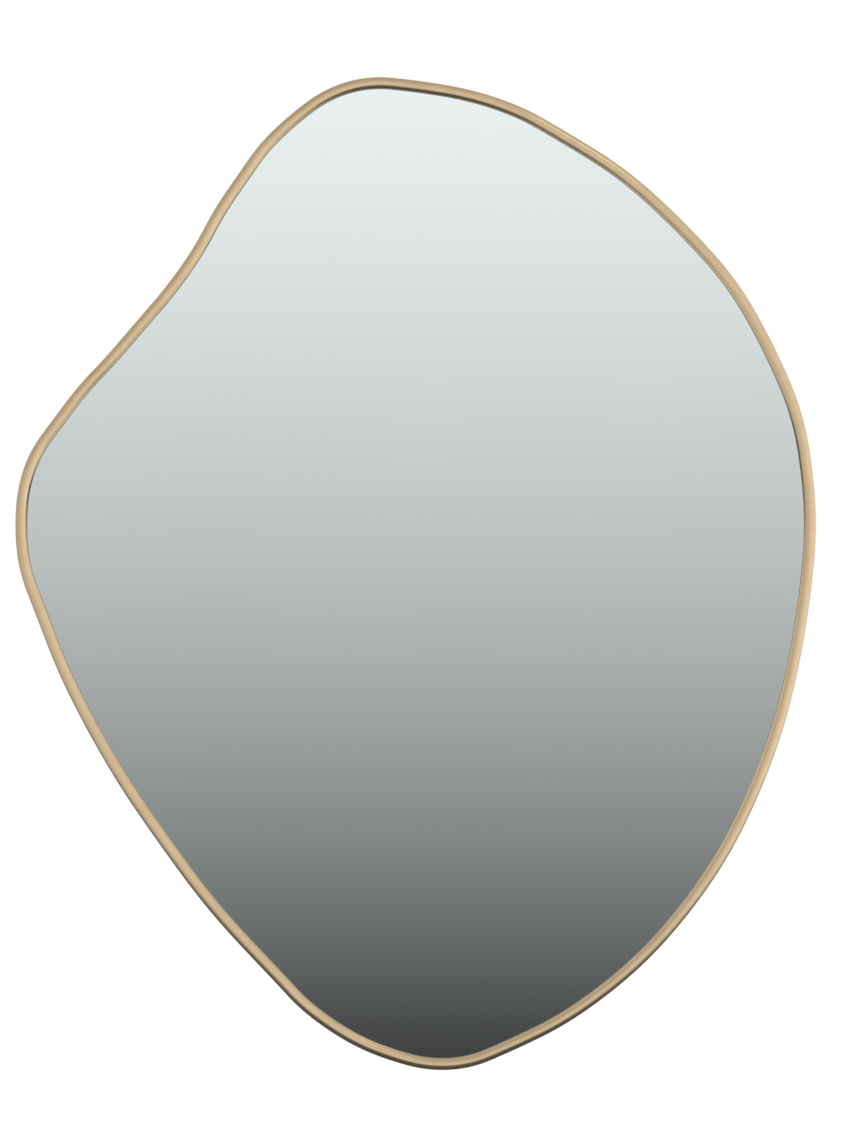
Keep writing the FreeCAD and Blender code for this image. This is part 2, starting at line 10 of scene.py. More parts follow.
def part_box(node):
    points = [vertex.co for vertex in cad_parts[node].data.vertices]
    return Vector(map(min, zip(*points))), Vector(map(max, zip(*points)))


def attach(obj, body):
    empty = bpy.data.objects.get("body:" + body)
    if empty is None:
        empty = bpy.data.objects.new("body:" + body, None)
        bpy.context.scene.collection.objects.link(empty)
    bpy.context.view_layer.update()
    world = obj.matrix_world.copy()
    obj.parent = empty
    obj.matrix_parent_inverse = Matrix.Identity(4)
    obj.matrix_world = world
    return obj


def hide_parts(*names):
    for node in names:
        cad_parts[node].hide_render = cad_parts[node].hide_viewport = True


# Irregular shaped wall mirror: silvered glass in a slim champagne metal rim with a half-round face.
# Metres, +X to the right as seen from the room, -Y towards the room, +Z up.  The wall is y = 0, and the
# origin lies midway between the two wall hooks.

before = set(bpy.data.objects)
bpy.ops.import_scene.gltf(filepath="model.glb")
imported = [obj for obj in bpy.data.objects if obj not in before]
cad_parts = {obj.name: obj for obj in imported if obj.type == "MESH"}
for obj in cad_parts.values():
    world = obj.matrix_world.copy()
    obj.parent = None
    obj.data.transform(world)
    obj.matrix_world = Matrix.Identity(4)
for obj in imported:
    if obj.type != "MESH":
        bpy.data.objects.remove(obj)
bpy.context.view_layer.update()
bpy.ops.object.select_all(action="DESELECT")

BODY = "mirror"
MM = 0.001


# ---------------------------------------------------------------- the outline, as the rim is bent to it

# Points that the bent rim passes through, in millimetres of the drawing, anticlockwise from the bottom.
OUTLINE = [
    (21, -400), (98, -375), (166, -330), (238, -249), (286, -154), (313, -51), (321, 69), (311, 128),
    (288, 184), (259, 234), (218, 281), (165, 328), (126, 353), (82, 377), (22, 394), (-59, 395),
    (-114, 358), (-152, 309), (-189, 248), (-239, 187), (-282, 138), (-316, 84), (-322, 24), (-299, -52),
    (-247, -157), (-205, -220), (-169, -268), (-122, -320), (-85, -357), (-32, -388),
]

# An arc turns from one heading to the next about its centre.  A hollow stretch has a negative radius.
Arc = namedtuple("Arc", "centre radius start end")


def outward(heading):
    """The unit vector that points out of the outline where it runs on a heading."""
    return -1j * cmath.exp(1j * heading)


def turn(start, end):
    """The turn from one heading to another, the short way round."""
    return (end - start + math.pi) % (2 * math.pi) - math.pi


def dot(a, b):
    return (a * b.conjugate()).real


def arc_point(arc, heading):
    """The point at which an arc runs on a heading."""
    return arc.centre + arc.radius * outward(heading)


def heading_at(before, point, after):
    """The heading of the outline at a point, shared out between the chords on either side."""
    arriving = point - before
    leaving = after - point
    share = abs(arriving) / (abs(arriving) + abs(leaving))
    first = cmath.phase(arriving)
    return first + share * turn(first, cmath.phase(leaving))


def arc_from(point, heading, end):
    """The arc that leaves a point on a heading and arrives at an end."""
    chord = end - point
    half_turn = turn(heading, cmath.phase(chord))
    radius = abs(chord) / (2 * math.sin(half_turn))
    return Arc(point - radius * outward(heading), radius, heading, heading + 2 * half_turn)


def tangent_arcs(points):
    """A closed chain of arcs through the points, two to each span, each tangent to the next."""
    count = len(points)
    headings = [heading_at(points[k - 1], points[k], points[(k + 1) % count]) for k in range(count)]
    chain = []
    for k, point in enumerate(points):
        after = points[(k + 1) % count]
        leave = cmath.exp(1j * headings[k])
        arrive = cmath.exp(1j * headings[(k + 1) % count])
        span = after - point
        along = dot(span, leave + arrive)
        spread = 2 * (1 - dot(leave, arrive))
        length = abs(span) ** 2
        tangent_length = length / (along + math.sqrt(along ** 2 + spread * length))
        joint = (point + after + tangent_length * (leave - arrive)) / 2
        first = arc_from(point, headings[k], joint)
        chain.append(first)
        chain.append(arc_from(joint, first.end, after))
    return chain


def reach(chain, direction):
    """How far the chain reaches along a unit direction."""
    facing = cmath.phase(direction) + math.pi / 2
    reached = []
    for arc in chain:
        reached.append(dot(arc_point(arc, arc.start), direction))
        if 0 <= turn(arc.start, facing) / (arc.end - arc.start) <= 1:
            reached.append(dot(arc_point(arc, facing), direction))
    return max(reached)


def fitted_outline():
    """The drawn outline stretched to the rim's own box, as arcs in metres."""
    drawn = tangent_arcs([complex(x, z) for x, z in OUTLINE])
    drawn_size = complex(reach(drawn, 1) + reach(drawn, -1), reach(drawn, 1j) + reach(drawn, -1j))
    drawn_middle = complex(reach(drawn, 1) - reach(drawn, -1), reach(drawn, 1j) - reach(drawn, -1j)) / 2
    low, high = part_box("rim")
    middle = (low + high) / 2
    points = []
    for x, z in OUTLINE:
        across = (x - drawn_middle.real) * (high.x - low.x) / drawn_size.real
        up = (z - drawn_middle.imag) * (high.z - low.z) / drawn_size.imag
        points.append(complex(middle.x + across, middle.z + up))
    return tangent_arcs(points)


# ---------------------------------------------------------------- finishes

CHAMPAGNE = (0.72, 0.545, 0.335)
CHAMPAGNE_DEEP = (0.695, 0.52, 0.315)
CHAMPAGNE_PALE = (0.75, 0.57, 0.36)
# painted shade: the dark brown the rim turns where it meets the glass
CHAMPAGNE_PAINTED_SHADE = (0.15, 0.105, 0.06)
GLASS_TINT = (0.865, 0.925, 0.925)
GLASS_TINT_PALE = (0.875, 0.93, 0.93)
BOARD_BROWN = (0.36, 0.235, 0.135)
BOARD_DARK = (0.27, 0.17, 0.095)
BOARD_PALE = (0.50, 0.36, 0.22)
BOARD_FLECK = (0.12, 0.07, 0.04)
STEEL = (0.50, 0.50, 0.50)
STEEL_PALE = (0.66, 0.66, 0.65)
ZINC = (0.62, 0.64, 0.66)
ZINC_PALE = (0.78, 0.79, 0.80)
FOAM_WHITE = (0.82, 0.82, 0.80)
FOAM_SHADE = (0.62, 0.62, 0.60)
RUBBER_GREY = (0.055, 0.055, 0.058)
RUBBER_DUSTY = (0.13, 0.13, 0.13)

DRAWN_LINES = (40, 9000, 1)     # the plating's fine lines to the metre: along the rim, and round it
SHADE_LINE_START = 2.3 * MM           # how far from the glass the rim's painted shade line starts
SHADE_LINE_FULL = 1.0 * MM            # and how far from it the painted shade is full


def new_finish(name, colour, metallic, roughness):
    """A material with one principled surface; gives the material and that surface."""
    finish = bpy.data.materials.new(name)
    finish.use_nodes = True
    surface = finish.node_tree.nodes["Principled BSDF"]
    surface.inputs["Base Color"].default_value = (*colour, 1)
    surface.inputs["Metallic"].default_value = metallic
    surface.inputs["Roughness"].default_value = roughness
    return finish, surface


def add(finish, kind, **values):
    """A node of a kind, with its inputs set by name."""
    node = finish.node_tree.nodes.new("ShaderNode" + kind)
    for name, value in values.items():
        node.inputs[name.replace("_", " ")].default_value = value
    return node


def join_up(finish, source, output, target, entry):
    """Leads one node's output into another's entry."""
    finish.node_tree.links.new(source.outputs[output], target.inputs[entry])


def placed(finish, scale=(1, 1, 1), turned=(0, 0, 0)):
    """The piece's own coordinates in metres, turned and scaled along each axis."""
    coordinates = add(finish, "TexCoord")
    mapping = add(finish, "Mapping", Scale=scale, Rotation=turned)
    join_up(finish, coordinates, "Object", mapping, "Vector")
    return mapping


def grain(finish, vector, scale, detail=4.0, roughness=0.55):
    """Noise with so many lumps to the metre."""
    noise = add(finish, "TexNoise", Scale=scale, Detail=detail, Roughness=roughness)
    join_up(finish, vector, "Vector", noise, "Vector")
    return noise


def spread(finish, source, output, low, high, start=0.3, end=0.7):
    """A value brought from one range to another."""
    ranged = finish.node_tree.nodes.new("ShaderNodeMapRange")
    ranged.inputs["From Min"].default_value = start
    ranged.inputs["From Max"].default_value = end
    ranged.inputs["To Min"].default_value = low
    ranged.inputs["To Max"].default_value = high
    join_up(finish, source, output, ranged, "Value")
    return ranged


def tones(finish, source, output, stops):
    """Colours laid along a value: (place, colour) pairs."""
    ramp = finish.node_tree.nodes.new("ShaderNodeValToRGB")
    first, last = ramp.color_ramp.elements
    first.position, first.color = stops[0][0], (*stops[0][1], 1)
    last.position, last.color = stops[-1][0], (*stops[-1][1], 1)
    for place, colour in stops[1:-1]:
        ramp.color_ramp.elements.new(place).color = (*colour, 1)
    join_up(finish, source, output, ramp, "Fac")
    return ramp


def blend_colours(finish, factor, factor_output, first, second):
    """Mixes two colours, each a node's output or plain numbers, and gives the mix's output."""
    mix = finish.node_tree.nodes.new("ShaderNodeMix")
    mix.data_type = "RGBA"
    mix.clamp_result = True
    colours = [socket for socket in mix.inputs if socket.type == "RGBA"]
    join_up(finish, factor, factor_output, mix, 0)
    for source, socket in zip((first, second), colours):
        if isinstance(source, tuple):
            socket.default_value = (*source, 1)
        else:
            finish.node_tree.links.new(source, socket)
    return [socket for socket in mix.outputs if socket.type == "RGBA"][0]


def raise_surface(finish, surface, source, output, height):
    """Bumps the surface by a height in metres."""
    bump = add(finish, "Bump", Distance=height, Strength=1.0)
    join_up(finish, source, output, bump, "Height")
    join_up(finish, bump, "Normal", surface, "Normal")


def champagne_metal(face_end):
    """Satin champagne plating: fine lines drawn along the rim, cloudy lustre, and a dark line of painted
    shade at the glass, where the bead meets it.  face_end is how far round the section the bead ends
    there."""
    finish, surface = new_finish("champagne_metal", CHAMPAGNE, metallic=1.0, roughness=0.25)
    along = add(finish, "UVMap")
    along.uv_map = RIM_UV
    stretch = add(finish, "Mapping", Scale=DRAWN_LINES)
    join_up(finish, along, "UV", stretch, "Vector")
    lines = grain(finish, stretch, 1.0, detail=2.0)
    clouds = grain(finish, placed(finish), 55.0, detail=3.0)
    tone = tones(finish, clouds, "Fac", [(0.3, CHAMPAGNE_DEEP), (0.5, CHAMPAGNE), (0.72, CHAMPAGNE_PALE)])

    across = finish.node_tree.nodes.new("ShaderNodeSeparateXYZ")
    join_up(finish, along, "UV", across, "Vector")
    # painted shade: the bead darkens to a dark line where it meets the glass, standing in for the shadow
    # in the gap
    shade_line = spread(finish, across, "Y", 0.0, 1.0, start=face_end - SHADE_LINE_START, end=face_end - SHADE_LINE_FULL)
    colour = blend_colours(finish, shade_line, "Result", tone.outputs["Color"], CHAMPAGNE_PAINTED_SHADE)
    finish.node_tree.links.new(colour, surface.inputs["Base Color"])

    satin = spread(finish, lines, "Fac", 0.22, 0.27)
    join_up(finish, satin, "Result", surface, "Roughness")
    raise_surface(finish, surface, lines, "Fac", 0.0012 * MM)
    return finish


def silvered_glass():
    """Silver seen through clear float glass, with the faint cool cast of its iron."""
    finish, surface = new_finish("silvered_glass", GLASS_TINT, metallic=1.0, roughness=0.0)
    surface.inputs["Coat Weight"].default_value = 0.3
    surface.inputs["Coat Roughness"].default_value = 0.0
    draw = grain(finish, placed(finish, scale=(1, 1, 0.35)), 9.0, detail=1.0)
    cast = tones(finish, draw, "Fac", [(0.3, GLASS_TINT), (0.7, GLASS_TINT_PALE)])
    join_up(finish, cast, "Color", surface, "Base Color")
    return finish


def fibreboard():
    """Raw medium-density fibreboard: felted short fibres, darker flecks, a few pale ones."""
    finish, surface = new_finish("fibreboard", BOARD_BROWN, metallic=0.0, roughness=0.82)
    surface.inputs["Specular IOR Level"].default_value = 0.25
    fibres = grain(finish, placed(finish, scale=(1.0, 1.0, 0.35), turned=(0, 0.6, 0)), 1500.0, detail=5.0)
    felt = grain(finish, placed(finish, scale=(0.4, 1.0, 1.0), turned=(0, -0.3, 0)), 900.0, detail=4.0)
    flecks = grain(finish, placed(finish), 520.0, detail=2.0, roughness=0.4)
    patches = grain(finish, placed(finish), 14.0, detail=3.0)
    ground = tones(finish, patches, "Fac", [(0.3, BOARD_DARK), (0.7, BOARD_BROWN)])
    felted = tones(finish, felt, "Fac", [(0.32, BOARD_DARK), (0.5, BOARD_BROWN), (0.7, BOARD_PALE)])
    body = blend_colours(finish, fibres, "Fac", ground.outputs["Color"], felted.outputs["Color"])
    dark = spread(finish, flecks, "Fac", 0.0, 0.65, start=0.63, end=0.70)
    flecked = blend_colours(finish, dark, "Result", body, BOARD_FLECK)
    finish.node_tree.links.new(flecked, surface.inputs["Base Color"])
    join_up(finish, spread(finish, felt, "Fac", 0.74, 0.92), "Result", surface, "Roughness")
    raise_surface(finish, surface, fibres, "Fac", 0.05 * MM)
    return finish


def bright_zinc(name, colour, pale, roughness):
    """Zinc plate over pressed steel: soft spangle and fine drawing marks."""
    finish, surface = new_finish(name, colour, metallic=1.0, roughness=roughness)
    spangle = finish.node_tree.nodes.new("ShaderNodeTexVoronoi")
    spangle.inputs["Scale"].default_value = 420.0
    join_up(finish, placed(finish), "Vector", spangle, "Vector")
    clouds = grain(finish, placed(finish), 240.0, detail=3.0)
    tone = tones(finish, clouds, "Fac", [(0.3, colour), (0.7, pale)])
    join_up(finish, tone, "Color", surface, "Base Color")
    dulled = spread(finish, spangle, "Distance", roughness - 0.03, roughness + 0.05, start=0.0, end=1.0)
    join_up(finish, dulled, "Result", surface, "Roughness")
    scratches = grain(finish, placed(finish, scale=(1, 1, 0.08)), 2600.0, detail=2.0)
    raise_surface(finish, surface, scratches, "Fac", 0.002 * MM)
    return finish


def foam_tape():
    """White closed-cell foam."""
    finish, surface = new_finish("foam_tape", FOAM_WHITE, metallic=0.0, roughness=0.7)
    cells = finish.node_tree.nodes.new("ShaderNodeTexVoronoi")
    cells.inputs["Scale"].default_value = 2600.0
    join_up(finish, placed(finish), "Vector", cells, "Vector")
    tone = tones(finish, cells, "Distance", [(0.0, FOAM_SHADE), (0.6, FOAM_WHITE)])
    join_up(finish, tone, "Color", surface, "Base Color")
    raise_surface(finish, surface, cells, "Distance", 0.06 * MM)
    return finish


def moulded_rubber():
    """Grey moulded rubber with a dusting of talc."""
    finish, surface = new_finish("moulded_rubber", RUBBER_GREY, metallic=0.0, roughness=0.6)
    talc = grain(finish, placed(finish), 900.0, detail=5.0)
    tone = tones(finish, talc, "Fac", [(0.35, RUBBER_GREY), (0.75, RUBBER_DUSTY)])
    join_up(finish, tone, "Color", surface, "Base Color")
    join_up(finish, spread(finish, talc, "Fac", 0.5, 0.75), "Result", surface, "Roughness")
    raise_surface(finish, surface, talc, "Fac", 0.02 * MM)
    return finish


# ---------------------------------------------------------------- modelling helpers

NEAR = 0.01 * MM                # how close a vertex has to be to the place where it is looked for
LEVEL = 0.9                     # a face whose normal rises by more looks up


def current(name):
    """The piece that was just added, given its name."""
    piece = bpy.context.active_object
    piece.name = name
    piece.data.name = name
    return piece


def only(piece):
    """Makes a piece the one that is selected and active."""
    bpy.ops.object.select_all(action="DESELECT")
    piece.select_set(True)
    bpy.context.view_layer.objects.active = piece


def edit(piece):
    """Opens a piece in edit mode with nothing selected, and gives its mesh."""
    only(piece)
    bpy.ops.object.mode_set(mode="EDIT")
    bpy.ops.mesh.select_mode(type="VERT")
    bpy.ops.mesh.select_all(action="DESELECT")
    return bmesh.from_edit_mesh(piece.data)


def choose(piece, wanted, what="FACE"):
    """Selects, in edit mode, the faces or edges for which wanted() is true."""
    bpy.ops.mesh.select_mode(type=what)
    bpy.ops.mesh.select_all(action="DESELECT")
    mesh = bmesh.from_edit_mesh(piece.data)
    mesh.normal_update()
    for part in mesh.faces if what == "FACE" else mesh.edges:
        if wanted(part):
            part.select_set(True)
    mesh.select_flush_mode()
    bmesh.update_edit_mesh(piece.data)


def choose_circle(piece, height, radius):
    """Selects, in edit mode, the edges at a height whose ends lie a radius or more from the Z axis."""
    choose(piece, lambda edge: all(
        abs(v.co.z - height) < NEAR and v.co.xy.length > radius - NEAR for v in edge.verts), "EDGE")


def close_edit():
    bpy.ops.object.mode_set(mode="OBJECT")


def apply_modifier(piece, kind, **settings):
    """Gives a piece a modifier with its settings, and applies it."""
    only(piece)
    modifier = piece.modifiers.new(kind.lower(), kind)
    for name, value in settings.items():
        setattr(modifier, name, value)
    bpy.ops.object.modifier_apply(modifier=modifier.name)


def smooth(piece, degrees):
    """Shades a piece smooth but for the edges that turn by more than so many degrees."""
    only(piece)
    bpy.ops.object.shade_smooth_by_angle(angle=math.radians(degrees))
    bpy.ops.object.select_all(action="DESELECT")


def dress(piece, finish, node):
    """Gives a new piece its finish, lets it ride with the mirror, and has it stand for a CAD node."""
    piece.data.materials.clear()
    piece.data.materials.append(finish)
    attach(piece, BODY)
    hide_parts(node)


def refinish(finish, *nodes):
    """Gives CAD nodes, which stay as they are, their finish."""
    for name in nodes:
        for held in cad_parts[name].material_slots:
            held.material = finish


# ---------------------------------------------------------------- the rim

RIM_UV = "along_rim"
RIM_STEP = 1.6 * MM             # from one station of the mesh to the next, along the outline
BEAD_WIDTH = 9.5 * MM
BEAD_FACES = 22
SKIRT_WALL = 2 * MM
EDGE_ROUND = 0.4 * MM
SUPPORT = 1.2 * MM              # from a rounded edge to the ring that keeps the flat beyond it flat

Station = namedtuple("Station", "point normal along")


def stations(chain):
    """Places along the outline, about a step apart, and the outline's whole length."""
    made = []
    along = 0.0
    for arc in chain:
        length = abs(arc.radius * (arc.end - arc.start))
        count = max(1, round(length / RIM_STEP))
        for k in range(count):
            heading = arc.start + (arc.end - arc.start) * k / count
            made.append(Station(arc_point(arc, heading), outward(heading), along + length * k / count))
        along += length
    return made, along


def rim_section():
    """The rim's section once round, as (inset from the outline, y), from the skirt's rear edge forward,
    and which of its points ends the bead, at the glass."""
    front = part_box("rim")[0].y
    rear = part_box("rim")[1].y
    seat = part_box("mirror_glass")[0].y
    radius = BEAD_WIDTH / 2
    bead_base = front + radius
    nick = 0.3 * EDGE_ROUND     # places the point halfway round a rounded edge
    outer = [(EDGE_ROUND, rear), (nick, rear - nick), (0, rear - EDGE_ROUND), (0, rear - SUPPORT),
             (0, bead_base + SUPPORT)]
    bead = []
    for k in range(BEAD_FACES + 1):
        angle = math.pi * k / BEAD_FACES
        bead.append((radius - radius * math.cos(angle), bead_base - radius * math.sin(angle)))
    lip = [(BEAD_WIDTH, seat), (SKIRT_WALL, seat)]
    inner = [(SKIRT_WALL, rear - SUPPORT), (SKIRT_WALL, rear - EDGE_ROUND),
             (SKIRT_WALL - nick, rear - nick), (SKIRT_WALL - EDGE_ROUND, rear)]
    return outer + bead + lip + inner, len(outer) + BEAD_FACES


def section_lengths(section):
    """How far round the section each of its points is."""
    lengths = [0.0]
    for (inset, y), (last_inset, last_y) in zip(section[1:], section):
        lengths.append(lengths[-1] + math.hypot(inset - last_inset, y - last_y))
    return lengths


def lay_ring(piece, ring, places, inset, y):
    """Lays the selected ring of vertices on the outline's offset, and marks it with its number."""
    mesh = bmesh.from_edit_mesh(piece.data)
    station = mesh.verts.layers.int["station"]
    number = mesh.verts.layers.int["ring"]
    for vertex in mesh.verts:
        if vertex.select:
            place = places[vertex[station]]
            on_offset = place.point - inset * place.normal
            vertex.co = (on_offset.real, y, on_offset.imag)
            vertex[number] = ring
    bmesh.update_edit_mesh(piece.data)


def draw_uv(piece, places, whole_length, lengths, closing_length):
    """A map along and round the rim, in metres."""
    mesh = piece.data
    station = [value.value for value in mesh.attributes["station"].data]
    ring = [value.value for value in mesh.attributes["ring"].data]
    layer = mesh.uv_layers.new(name=RIM_UV)
    last_station = len(places) - 1
    last_ring = len(lengths) - 1
    for face in mesh.polygons:
        stations_met = {station[index] for index in face.vertices}
        rings_met = {ring[index] for index in face.vertices}
        for loop in face.loop_indices:
            vertex = mesh.loops[loop].vertex_index
            closes = station[vertex] == 0 and last_station in stations_met
            u = whole_length if closes else places[station[vertex]].along
            rounds = ring[vertex] == 0 and last_ring in rings_met
            v = closing_length if rounds else lengths[ring[vertex]]
            layer.data[loop].uv = (u, v)
    mesh.attributes.remove(mesh.attributes["station"])
    mesh.attributes.remove(mesh.attributes["ring"])


def make_rim():
    """The bent and welded profile: a ring of the outline, extruded once round its section."""
    places, whole_length = stations(fitted_outline())
    section, bead_last = rim_section()
    lengths = section_lengths(section)

    bpy.ops.mesh.primitive_circle_add(vertices=len(places), radius=BEAD_WIDTH)
    rim = current("rim_profile")
    mesh = edit(rim)
    station = mesh.verts.layers.int.new("station")
    mesh.verts.layers.int.new("ring")
    mesh.verts.ensure_lookup_table()
    for index, vertex in enumerate(mesh.verts):
        vertex[station] = index
    bmesh.update_edit_mesh(rim.data)
    bpy.ops.mesh.select_all(action="SELECT")
    for ring, (inset, y) in enumerate(section):
        if ring > 0:
            bpy.ops.mesh.extrude_edges_move()
        lay_ring(rim, ring, places, inset, y)

    last_ring = len(section) - 1
    number = bmesh.from_edit_mesh(rim.data).verts.layers.int["ring"]
    choose(rim, lambda edge: {v[number] for v in edge.verts} in ({0}, {last_ring}), "EDGE")
    bpy.ops.mesh.bridge_edge_loops()
    bpy.ops.mesh.select_all(action="SELECT")
    bpy.ops.mesh.normals_make_consistent(inside=False)
    close_edit()
    closing_length = lengths[-1] + SKIRT_WALL - 2 * EDGE_ROUND
    draw_uv(rim, places, whole_length, lengths, closing_length)
    smooth(rim, degrees=50)
    dress(rim, champagne_metal(lengths[bead_last]), "rim")


# ---------------------------------------------------------------- pressed steel, screws and bumpers

SAME_POINT = 0.002 * MM
SAME_PLANE = math.radians(1)
SHARP_CORNER = math.radians(40)
BROKEN_EDGE = 0.15 * MM
SCREW_REACH = 14 * MM           # a node's vertices within this of a screw's first one are that screw's


def break_edges(node, name, finish):
    """Makes a copy of a pressing with its sharp edges broken, which stands for its CAD node."""
    piece = bpy.data.objects.new(name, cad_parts[node].data.copy())
    bpy.context.collection.objects.link(piece)
    only(piece)
    if piece.data.has_custom_normals:
        bpy.ops.mesh.customdata_custom_splitnormals_clear()
    edit(piece)
    bpy.ops.mesh.select_all(action="SELECT")
    bpy.ops.mesh.remove_doubles(threshold=SAME_POINT)
    bpy.ops.mesh.dissolve_limited(angle_limit=SAME_PLANE)
    close_edit()
    apply_modifier(
        piece, "BEVEL", width=BROKEN_EDGE, segments=2, limit_method="ANGLE", angle_limit=SHARP_CORNER)
    smooth(piece, degrees=35)
    dress(piece, finish, node)


def screw_boxes(node):
    """The box of each screw of a node: (lowest corner, highest corner) pairs."""
    groups = []
    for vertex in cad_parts[node].data.vertices:
        for group in groups:
            if (vertex.co - group[0]).length < SCREW_REACH:
                group.append(vertex.co.copy())
                break
        else:
            groups.append([vertex.co.copy()])
    boxes = []
    for group in groups:
        low = Vector(min(point[axis] for point in group) for axis in range(3))
        high = Vector(max(point[axis] for point in group) for axis in range(3))
        boxes.append((low, high))
    return sorted(boxes, key=lambda box: math.atan2(box[0].z, box[0].x))


HEAD_RADIUS = 3.5 * MM
HEAD_HEIGHT = 2.2 * MM
HEAD_ROUND = 1.15 * MM
SEAT_ROUND = 0.2 * MM
SHANK_RADIUS = 1.6 * MM
SHANK_LENGTH = 6.4 * MM
POINT_LENGTH = 1.6 * MM
POINT_SHARE = 0.12              # of the shank's width, at the tip
SLOT_LENGTH = 4.3 * MM
SLOT_WIDTH = 0.95 * MM
SLOT_DEPTH = 1.5 * MM
SLOT_FOOT = (0.42, 0.6)         # shares of the slot's length and width, at its foot
FIRST_DRIVEN = 0.7              # the angle at which the first screw of a node comes to rest, in radians
NEXT_DRIVEN = 2.1               # and how much further round each next one does


def slot_blade(turned):
    """One blade of the driver that stamps a screw's cross: narrower and shorter towards its tip."""
    bpy.ops.mesh.primitive_cube_add(size=1, location=(0, 0, HEAD_HEIGHT))
    blade = current("driver_blade")
    blade.data.transform(Matrix.Diagonal((SLOT_LENGTH, SLOT_WIDTH, 2 * SLOT_DEPTH, 1)))
    edit(blade)
    choose(blade, lambda face: face.normal.z < -LEVEL)
    bpy.ops.transform.resize(value=(*SLOT_FOOT, 1), center_override=(0, 0, HEAD_HEIGHT - SLOT_DEPTH))
    close_edit()
    blade.data.transform(Matrix.Rotation(turned, 4, "Z"))
    return blade


def model_screw():
    """A pan head screw with a cross recess: its seat at the origin, its head towards +Z."""
    bpy.ops.mesh.primitive_cylinder_add(
        vertices=48, radius=HEAD_RADIUS, depth=HEAD_HEIGHT, location=(0, 0, HEAD_HEIGHT / 2))
    screw = current("screw_pattern")
    bpy.ops.object.transform_apply(location=True, rotation=True, scale=True)
    edit(screw)
    choose(screw, lambda face: face.normal.z < -LEVEL)
    bpy.ops.mesh.inset(thickness=HEAD_RADIUS - SHANK_RADIUS)
    bpy.ops.mesh.extrude_region_move(TRANSFORM_OT_translate={"value": (0, 0, -SHANK_LENGTH)})
    bpy.ops.mesh.extrude_region_move(TRANSFORM_OT_translate={"value": (0, 0, -POINT_LENGTH)})
    bpy.ops.transform.resize(value=(POINT_SHARE, POINT_SHARE, 1))
    choose_circle(screw, HEAD_HEIGHT, HEAD_RADIUS)
    bpy.ops.mesh.bevel(offset=HEAD_ROUND, segments=6)
    choose_circle(screw, 0, HEAD_RADIUS)
    bpy.ops.mesh.bevel(offset=SEAT_ROUND, segments=2)
    close_edit()
    for turned in (0, math.pi / 2):
        blade = slot_blade(turned)
        apply_modifier(screw, "BOOLEAN", object=blade, operation="DIFFERENCE", solver="EXACT")
        bpy.data.objects.remove(blade)
    smooth(screw, degrees=32)
    return screw


def drive_screws(pattern, name, node, finish):
    """Puts a screw in each seat of a node, each driven home at its own angle."""
    backwards = Matrix.Rotation(-math.pi / 2, 4, "X")
    for index, (low, high) in enumerate(screw_boxes(node)):
        screw = bpy.data.objects.new("%s_%d" % (name, index + 1), pattern.data.copy())
        bpy.context.collection.objects.link(screw)
        seat = Vector(((low.x + high.x) / 2, high.y - HEAD_HEIGHT, (low.z + high.z) / 2))
        driven = Matrix.Rotation(FIRST_DRIVEN + NEXT_DRIVEN * index, 4, "Z")
        screw.data.transform(Matrix.Translation(seat) @ backwards @ driven)
        dress(screw, finish, node)


BUMPER_TAPER = 0.8              # the tip's radius as a share of the base's
DIMPLE_RIM = 0.62               # of the tip's radius, from its edge to the dimple
DIMPLE_SLOPE = 0.06             # of the tip's radius, across the dimple's side
DIMPLE_DEPTH = 0.5 * MM
TIP_ROUND = 1.2 * MM
BASE_ROUND = 0.3 * MM


def make_bumper(node, finish):
    """A moulded bumper: tapered, its tip rounded, with the dimple that the mould's pin leaves."""
    low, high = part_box(node)
    base_radius = (high.x - low.x) / 2
    height = high.y - low.y
    tip_radius = base_radius * BUMPER_TAPER
    middle = (low + high) / 2
    bpy.ops.mesh.primitive_cone_add(
        vertices=56, radius1=base_radius, radius2=tip_radius, depth=height, location=(0, 0, height / 2))
    bumper = current(node + "_moulded")
    bpy.ops.object.transform_apply(location=True, rotation=True, scale=True)
    edit(bumper)
    choose(bumper, lambda face: face.normal.z > LEVEL)
    bpy.ops.mesh.inset(thickness=tip_radius * DIMPLE_RIM)
    bpy.ops.mesh.inset(thickness=tip_radius * DIMPLE_SLOPE)
    bpy.ops.transform.translate(value=(0, 0, -DIMPLE_DEPTH))
    choose_circle(bumper, height, tip_radius)
    bpy.ops.mesh.bevel(offset=TIP_ROUND, segments=5)
    choose_circle(bumper, 0, base_radius)
    bpy.ops.mesh.bevel(offset=BASE_ROUND, segments=2)
    close_edit()
    stands = Matrix.Translation((middle.x, low.y, middle.z)) @ Matrix.Rotation(-math.pi / 2, 4, "X")
    bumper.data.transform(stands)
    smooth(bumper, degrees=35)
    dress(bumper, finish, node)


# ---------------------------------------------------------------- stage, light and camera

PHOTO_HIGH = 1134               # height of the photograph, in its pixels
OUTLINE_HIGH = 992.8            # height of the outline in the photograph, in its pixels
FRAME_MIDDLE = (9.9, 6.6)       # the frame's middle from the outline's middle, right and up, in pixels
CAMERA_DISTANCE = 3.0
SENSOR = 36.0                   # in millimetres, as the lens is

# How bright the studio is, by degrees above the horizon: in the glass, and in the satin metal.
GLASS_STUDIO = [
    (-90, 0.03), (-66, 0.05), (-54, 0.45), (-40, 0.95), (-22, 0.90), (-13, 0.30), (-9.5, 0.05),
    (-7.8, 0.044), (-6.8, 0.085), (-5.0, 0.20), (-2.5, 0.38), (0, 0.555), (3.6, 0.765), (7.3, 0.95),
    (20, 1.0), (55, 0.75), (90, 0.60),
]
METAL_STUDIO = [
    (-90, 0.09), (-60, 0.09), (-49, 0.32), (-38, 0.80), (-20, 0.92), (0, 0.90), (25, 0.80),
    (50, 0.66), (90, 0.56),
]
SOFT_LIGHT = 0.78
WHITE = (1, 1, 1, 1)

# Which light a ray sees: that of the last line that fits it, or else the soft light.
SEEN_BY = [
    ("Is Glossy Ray", "metal"),
    ("Is Singular Ray", "glass"),
    ("Is Transmission Ray", "white"),
    ("Is Camera Ray", "white"),
]


